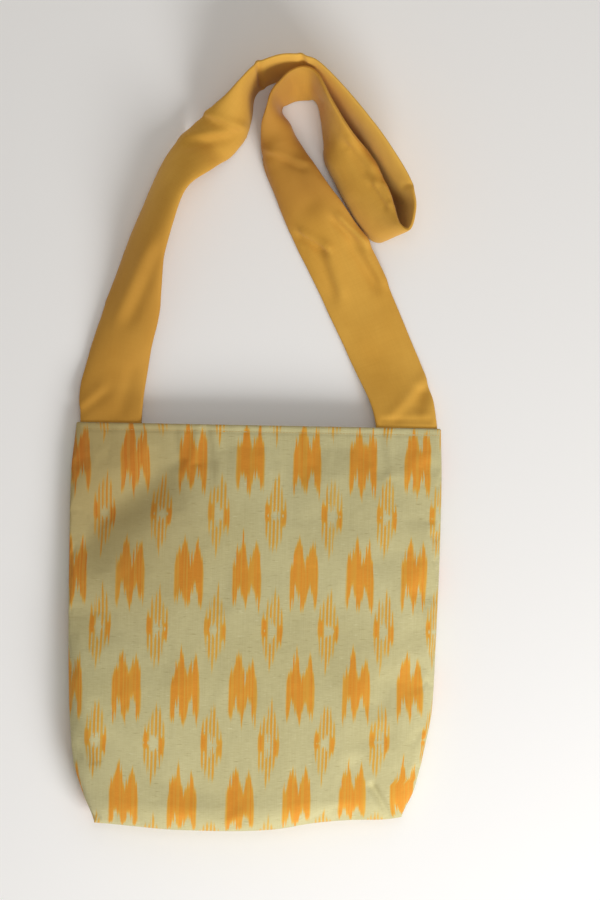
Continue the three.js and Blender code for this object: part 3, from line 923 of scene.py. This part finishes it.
def strap_cotton():
    """Plain mustard cotton, an even weave with a few thicker threads."""
    material = bpy.data.materials.new("strap_cotton")
    material.use_nodes = True
    tree = material.node_tree
    tree.nodes.clear()
    cloth = Thread(tree)
    place = cloth.node("UVMap", {"uv_map": "cloth"})
    u = place.node("SeparateXYZ", None, {"Vector": place}, output=0)
    v = place.node("SeparateXYZ", None, {"Vector": place}, output=1)
    slub = mottle(u, v, across=900, along=60, layer=0)
    weft = mottle(u, v, across=60, along=1000, layer=4)
    patchy = mottle(u, v, across=22, along=12, layer=9, detail=3.0)
    tone = slub.step(0.3, 0.7) * 0.16 + weft.step(0.3, 0.7) * 0.16 + patchy.step(0.3, 0.7) * 0.68
    fresh = tone.tint(STRAP_SHADE, STRAP_LIGHT)
    # Painted shade: darker, browner colour on the lower part of the left strand and the upper part of the
    # right strand
    left_painted_shade = v.step(*LEFT_PAINTED_SHADE_UP_TO) * LEFT_PAINTED_SHADE_SHARE
    right_painted_shade = (RIGHT_PAINTED_SHADE_REACH - abs(v - RIGHT_PAINTED_SHADE_AT)).step(0, PAINTED_BLEND)
    # Painted light: a paler colour along the top of the loop, where its walls lie in shade
    painted_light = (PAINTED_LIGHT_REACH - abs(v - PAINTED_LIGHT_AT)).step(0, PAINTED_BLEND) * PAINTED_LIGHT_SHARE
    painted_strap_shade = left_painted_shade + right_painted_shade * RIGHT_PAINTED_SHADE_SHARE
    color = painted_light.tint(painted_strap_shade.tint(fresh, STRAP_PAINTED_SHADE), STRAP_PAINTED_LIGHT)
    raised = weave(u, v, STRAP_THREAD_PITCH) * 0.1 + slub * 0.3 + weft * 0.3
    bump = cloth.node("Bump", None, {"Strength": 0.25, "Distance": THREAD_HEIGHT, "Height": raised})
    shader = cloth.node("BsdfPrincipled", None, {
        "Base Color": color,
        "Roughness": 0.74 + slub * 0.14,
        "Normal": bump,
        "Specular IOR Level": 0.3,
        "Sheen Weight": 0.15,
        "Sheen Roughness": 0.45,
    })
    shader.node("OutputMaterial", None, {"Surface": shader})
    return material


# The strap settles too, on a coarser grid, held lightly all along. Its movement fades in above the mouth, and
# no point may lie lower than STRAP_REST
STRAP_SETTLE_AROUND = 36
STRAP_SETTLE_ALONG = 280
STRAP_SPARE = 0.030
STRAP_HOLD = 0.04
STRAP_LIMIT = 0.0013
STRAP_FREE_FROM = 0.010
STRAP_FREE_BY = 0.030
STRAP_REST = 0.0004


def strap_hold(around, level):
    """The strap is held alike at every point, and lightly."""
    return np.full(len(around), STRAP_HOLD)


strap_shift = settled(
    STRAP_SETTLE_AROUND, STRAP_SETTLE_ALONG, strap_place, strap_hold, STRAP_SPARE, STRAP_LIMIT
)


def settled_strap(around, level):
    """The strap with its settled movement, fading to none at the mouth."""
    points, on_cloth = strap_place(around, level)
    free = ease(points[:, 1] - MOUTH_Y, STRAP_FREE_FROM, STRAP_FREE_BY)
    points += shift_at(strap_shift, around, level) * free[:, None]
    points[:, 2] = np.maximum(points[:, 2], STRAP_REST)
    return points, on_cloth


strap = sheet_of_cloth("strap_cloth", STRAP_AROUND, STRAP_ALONG, settled_strap)
joined = bmesh.new()
joined.from_mesh(strap.data)
bmesh.ops.remove_doubles(joined, verts=joined.verts, dist=1e-6)
joined.to_mesh(strap.data)
joined.free()
strap_layer = strap.modifiers.new("cloth", "SOLIDIFY")
strap_layer.thickness = STRAP_CLOTH
strap_layer.offset = -1
strap.data.materials.append(strap_cotton())
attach(strap, "root")
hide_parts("strap")

# Hem stitches: one line of tan thread along the mouth, front and back, through the folded edge and the
# strap's ends. Each stitch is a short bead of thread sunk a little into the cloth.
STITCH_PITCH = 0.0028
STITCH_LENGTH = 0.0021
STITCH_THICK = 0.0005
STITCHED_ACROSS = 0.98
STITCH_MEASURES = 1500
STITCH_SHADE = srgb(176, 142, 82)
STITCH_LIGHT = srgb(206, 178, 118)
PLY_WAVES = 900


def stitch_line(stitches, is_front):
    """A row of stitches along a panel's hem."""
    fine = np.linspace(-STITCHED_ACROSS, STITCHED_ACROSS, STITCH_MEASURES)
    line = panel_points(is_front, fine, np.full_like(fine, STITCH_DOWN))
    walked = np.concatenate([[0], np.cumsum(np.linalg.norm(np.diff(line, axis=0), axis=1))])
    for start in np.arange(0, walked[-1] - STITCH_PITCH, STITCH_PITCH):
        near, far = (
            Vector([np.interp(start + part, walked, line[:, axis]) for axis in range(3)])
            for part in (0, STITCH_LENGTH)
        )
        made = bmesh.ops.create_uvsphere(stitches, u_segments=8, v_segments=5, radius=0.5)["verts"]
        lie = (far - near).to_track_quat("Z", "Y").to_matrix()
        bmesh.ops.scale(stitches, verts=made, vec=(STITCH_THICK, STITCH_THICK, STITCH_LENGTH))
        bmesh.ops.rotate(stitches, verts=made, cent=(0, 0, 0), matrix=lie)
        bmesh.ops.translate(stitches, verts=made, vec=(near + far) / 2)


def stitch_thread():
    """Tan cotton thread, a little glossier than the cloth."""
    material = bpy.data.materials.new("stitch_thread")
    material.use_nodes = True
    tree = material.node_tree
    tree.nodes.clear()
    thread = Thread(tree)
    place = thread.node("TexCoord", None, None, output=3)
    ply = thread.node("TexNoise", None, {"Vector": place, "Scale": PLY_WAVES, "Detail": 1.0})
    color = ply.tint(STITCH_SHADE, STITCH_LIGHT)
    shader = thread.node("BsdfPrincipled", None, {"Base Color": color, "Roughness": 0.6 + ply * 0.2})
    shader.node("OutputMaterial", None, {"Surface": shader})
    return material


stitches = bmesh.new()
stitch_line(stitches, True)
stitch_line(stitches, False)
stitch_mesh = bpy.data.meshes.new("hem_stitches")
stitches.to_mesh(stitch_mesh)
stitches.free()
stitch_mesh.shade_smooth()
hem_stitches = bpy.data.objects.new("hem_stitches", stitch_mesh)
bpy.context.collection.objects.link(hem_stitches)
hem_stitches.data.materials.append(stitch_thread())
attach(hem_stitches, "root")

# Floor and light: a plain pale surface under the bag, a broad soft lamp below it on the right, two weaker
# ones above the strap, and an even, slightly warm surround.
FLOOR_SIZE = 4.0
FLOOR_COLOR = srgb(246, 246, 246)
FLOOR_ROUGHNESS = 0.9
SURROUND_COLOR = srgb(255, 248, 238)
SURROUND_STRENGTH = 0.33

floor_grid = bmesh.new()
bmesh.ops.create_grid(floor_grid, x_segments=1, y_segments=1, size=FLOOR_SIZE)
floor_mesh = bpy.data.meshes.new("floor")
floor_grid.to_mesh(floor_mesh)
floor_grid.free()
floor = bpy.data.objects.new("floor", floor_mesh)
bpy.context.collection.objects.link(floor)

floor_material = bpy.data.materials.new("pale_floor")
floor_material.use_nodes = True
floor_shader = floor_material.node_tree.nodes["Principled BSDF"]
floor_shader.inputs["Base Color"].default_value = FLOOR_COLOR
floor_shader.inputs["Roughness"].default_value = FLOOR_ROUGHNESS
floor_mesh.materials.append(floor_material)

LAMPS = [
    dict(name="key_lamp", at=(0.92, -1.50, 1.05), size=1.05, power=34),
    dict(name="fill_lamp", at=(0.5, 1.5, 1.7), size=1.4, power=4),
    dict(name="top_lamp", at=(0.1, 0.45, 2.4), size=0.8, power=5),
]
for row in LAMPS:
    lamp = bpy.data.lights.new(row["name"], "AREA")
    lamp.size = row["size"]
    lamp.energy = row["power"]
    holder = bpy.data.objects.new(row["name"], lamp)
    holder.location = row["at"]
    holder.rotation_euler = (-Vector(row["at"])).to_track_quat("-Z", "Y").to_euler()
    bpy.context.collection.objects.link(holder)

world = bpy.data.worlds.new("pale_room")
world.use_nodes = True
world.node_tree.nodes["Background"].inputs["Color"].default_value = SURROUND_COLOR
world.node_tree.nodes["Background"].inputs["Strength"].default_value = SURROUND_STRENGTH
bpy.context.scene.world = world
bpy.context.scene.view_settings.view_transform = "Standard"

bpy.context.view_layer.update()
